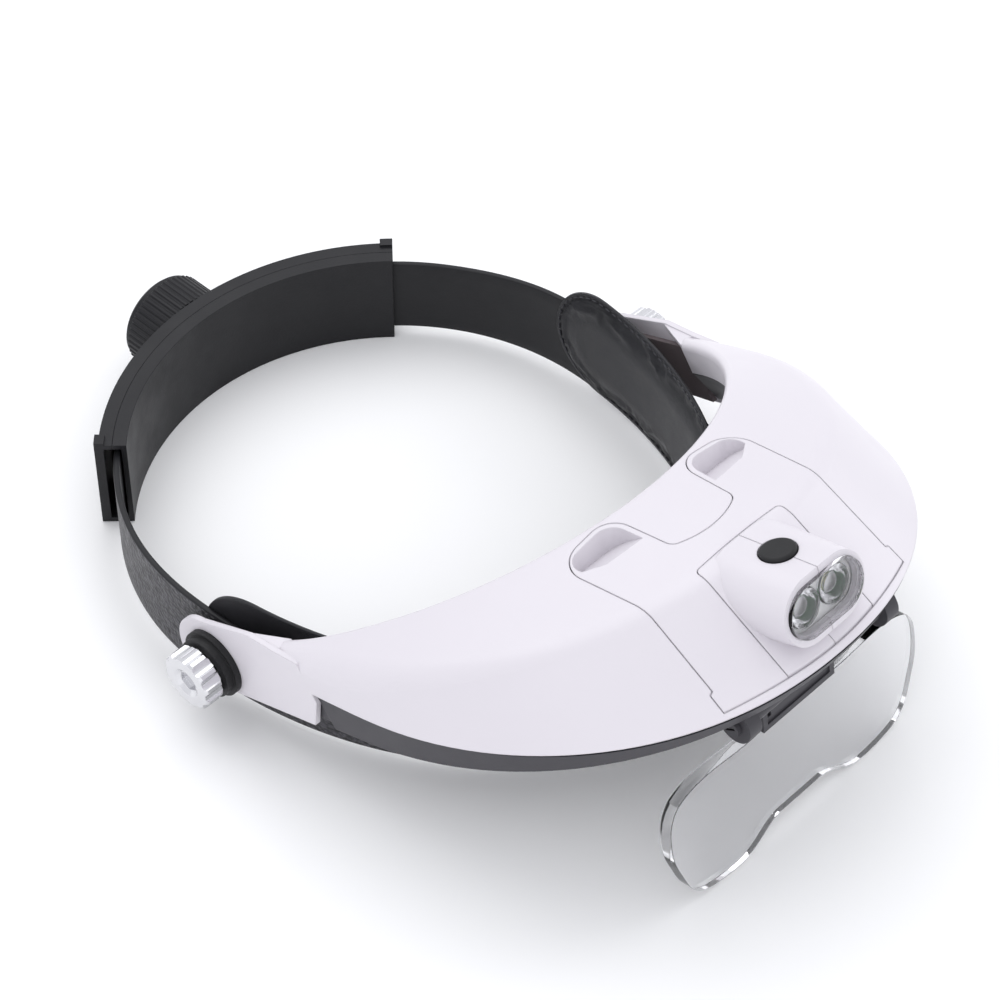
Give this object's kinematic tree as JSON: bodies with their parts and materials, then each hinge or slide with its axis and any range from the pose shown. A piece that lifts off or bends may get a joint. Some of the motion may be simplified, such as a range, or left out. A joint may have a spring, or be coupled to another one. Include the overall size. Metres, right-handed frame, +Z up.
{
  "type": "head visor magnifier",
  "caption": "Head-worn magnifier: adjustable padded band, tilting white visor with lamp and battery bay, and a clear flip-down magnifying lens in a hinged holder.",
  "frame": {"origin": "centre of the footprint, on the surface that the lens and the band housing rest on", "axes": "+Z up; the wearer faces -Y; +X is the wearer's left"},
  "size_m": [0.196, 0.2703, 0.0987],
  "materials": {
    "white_shell": "satin moulded",
    "dark_tray": "fine grained",
    "black_band": "pebbled outside, smooth inside",
    "leatherette": "fine grain, welded seam",
    "black_plastic": "satin",
    "clear_acrylic": "polished",
    "bright_metal": "turned and plated",
    "rubber": "matt",
    "steel": "plated",
    "board": "solder mask",
    "led_white": "phosphor",
    "cell_wrap": "printed sleeve",
    "acetal": "natural"
  },
  "bodies": {
    "headband": {"headband_strap": "black_band", "forehead_pad": "leatherette", "pivot_studs": "steel", "friction_spacers": "black_plastic"},
    "visor": {"visor_shell": "white_shell", "visor_tray": "dark_tray", "hinge_pins": "steel", "battery_tray": "dark_tray", "bay_screws": "steel", "battery_cells": "cell_wrap", "contact_springs": "steel", "contact_plates": "steel", "arm_liner_left": "dark_tray", "arm_liner_right": "dark_tray"},
    "battery_cover": {"battery_cover": "white_shell", "lamp_housing_left": "white_shell", "lamp_housing_right": "white_shell", "lamp_window": "clear_acrylic", "collimators": "clear_acrylic", "collimator_carrier": "acetal", "led_board": "board", "leds": "led_white", "switch_board": "board", "switch_body": "black_plastic"},
    "power_button": {"power_button": "black_plastic"},
    "lens_holder": {"lens_holder": "dark_tray"},
    "lens": {"lens": "clear_acrylic"},
    "side_knob_left": {"side_knob_left": "bright_metal", "rubber_washer_left": "rubber"},
    "side_knob_right": {"side_knob_right": "bright_metal", "rubber_washer_right": "rubber"},
    "rear_adjuster": {"housing_inner": "black_plastic", "housing_outer": "black_plastic"},
    "adjust_knob": {"adjust_knob": "black_plastic", "pinion": "acetal", "knob_screw": "steel"},
    "rack_left": {"rack_left": "acetal"},
    "rack_right": {"rack_right": "acetal"}
  },
  "joints": [
    {"name": "visor_tilt", "type": "hinge", "parent": "headband", "child": "visor", "pos_m": [0, 0.01713, 0.0205], "axis": [-1, 0, 0], "range_deg": [-35, 20]},
    {"name": "battery_cover_lift", "type": "slide", "parent": "visor", "child": "battery_cover", "axis": [0, 0.4226, 0.9063], "range_m": [0, 0.03]},
    {"name": "power_button_press", "type": "slide", "parent": "battery_cover", "child": "power_button", "axis": [0, -0.3502, -0.9367], "range_m": [0, 0.0008], "stiffness_N_per_m": 900, "springref_m": -0.0006},
    {"name": "lens_flip", "type": "hinge", "parent": "visor", "child": "lens_holder", "pos_m": [0, -0.12369, 0.06173], "axis": [-1, 0, 0], "range_deg": [-25, 100]},
    {"name": "lens_pull", "type": "slide", "parent": "lens_holder", "child": "lens", "axis": [0, -0.1633, -0.9866], "range_m": [0, 0.012]},
    {"name": "side_knob_left_turn", "type": "hinge", "parent": "headband", "child": "side_knob_left", "pos_m": [0.094, 0.01713, 0.0205], "axis": [1, 0, 0], "continuous": true},
    {"name": "side_knob_right_turn", "type": "hinge", "parent": "headband", "child": "side_knob_right", "pos_m": [-0.094, 0.01713, 0.0205], "axis": [-1, 0, 0], "continuous": true},
    {"name": "band_adjust", "type": "slide", "parent": "headband", "child": "rear_adjuster", "axis": [0, 1, 0], "range_m": [-0.01, 0.01], "deforming": ["headband_strap"]},
    {"name": "adjust_knob_turn", "type": "hinge", "parent": "rear_adjuster", "child": "adjust_knob", "pos_m": [0, 0.12143, 0.0155], "axis": [0, 1, 0], "range_deg": [-115, 115]},
    {"name": "rack_left_slide", "type": "hinge", "parent": "rear_adjuster", "child": "rack_left", "pos_m": [0, 0.03363, 0.0205], "axis": [0, 0, 1], "range_deg": [-7.2, 7.2]},
    {"name": "rack_right_slide", "type": "hinge", "parent": "rear_adjuster", "child": "rack_right", "pos_m": [0, 0.03363, 0.0205], "axis": [0, 0, 1], "range_deg": [-7.2, 7.2]}
  ],
  "couplings": [
    {"joint": "adjust_knob_turn", "follows": "band_adjust", "rad_per_m": 200},
    {"joint": "rack_left_slide", "follows": "band_adjust", "rad_per_m": -12.384},
    {"joint": "rack_right_slide", "follows": "band_adjust", "rad_per_m": 12.041}
  ]
}
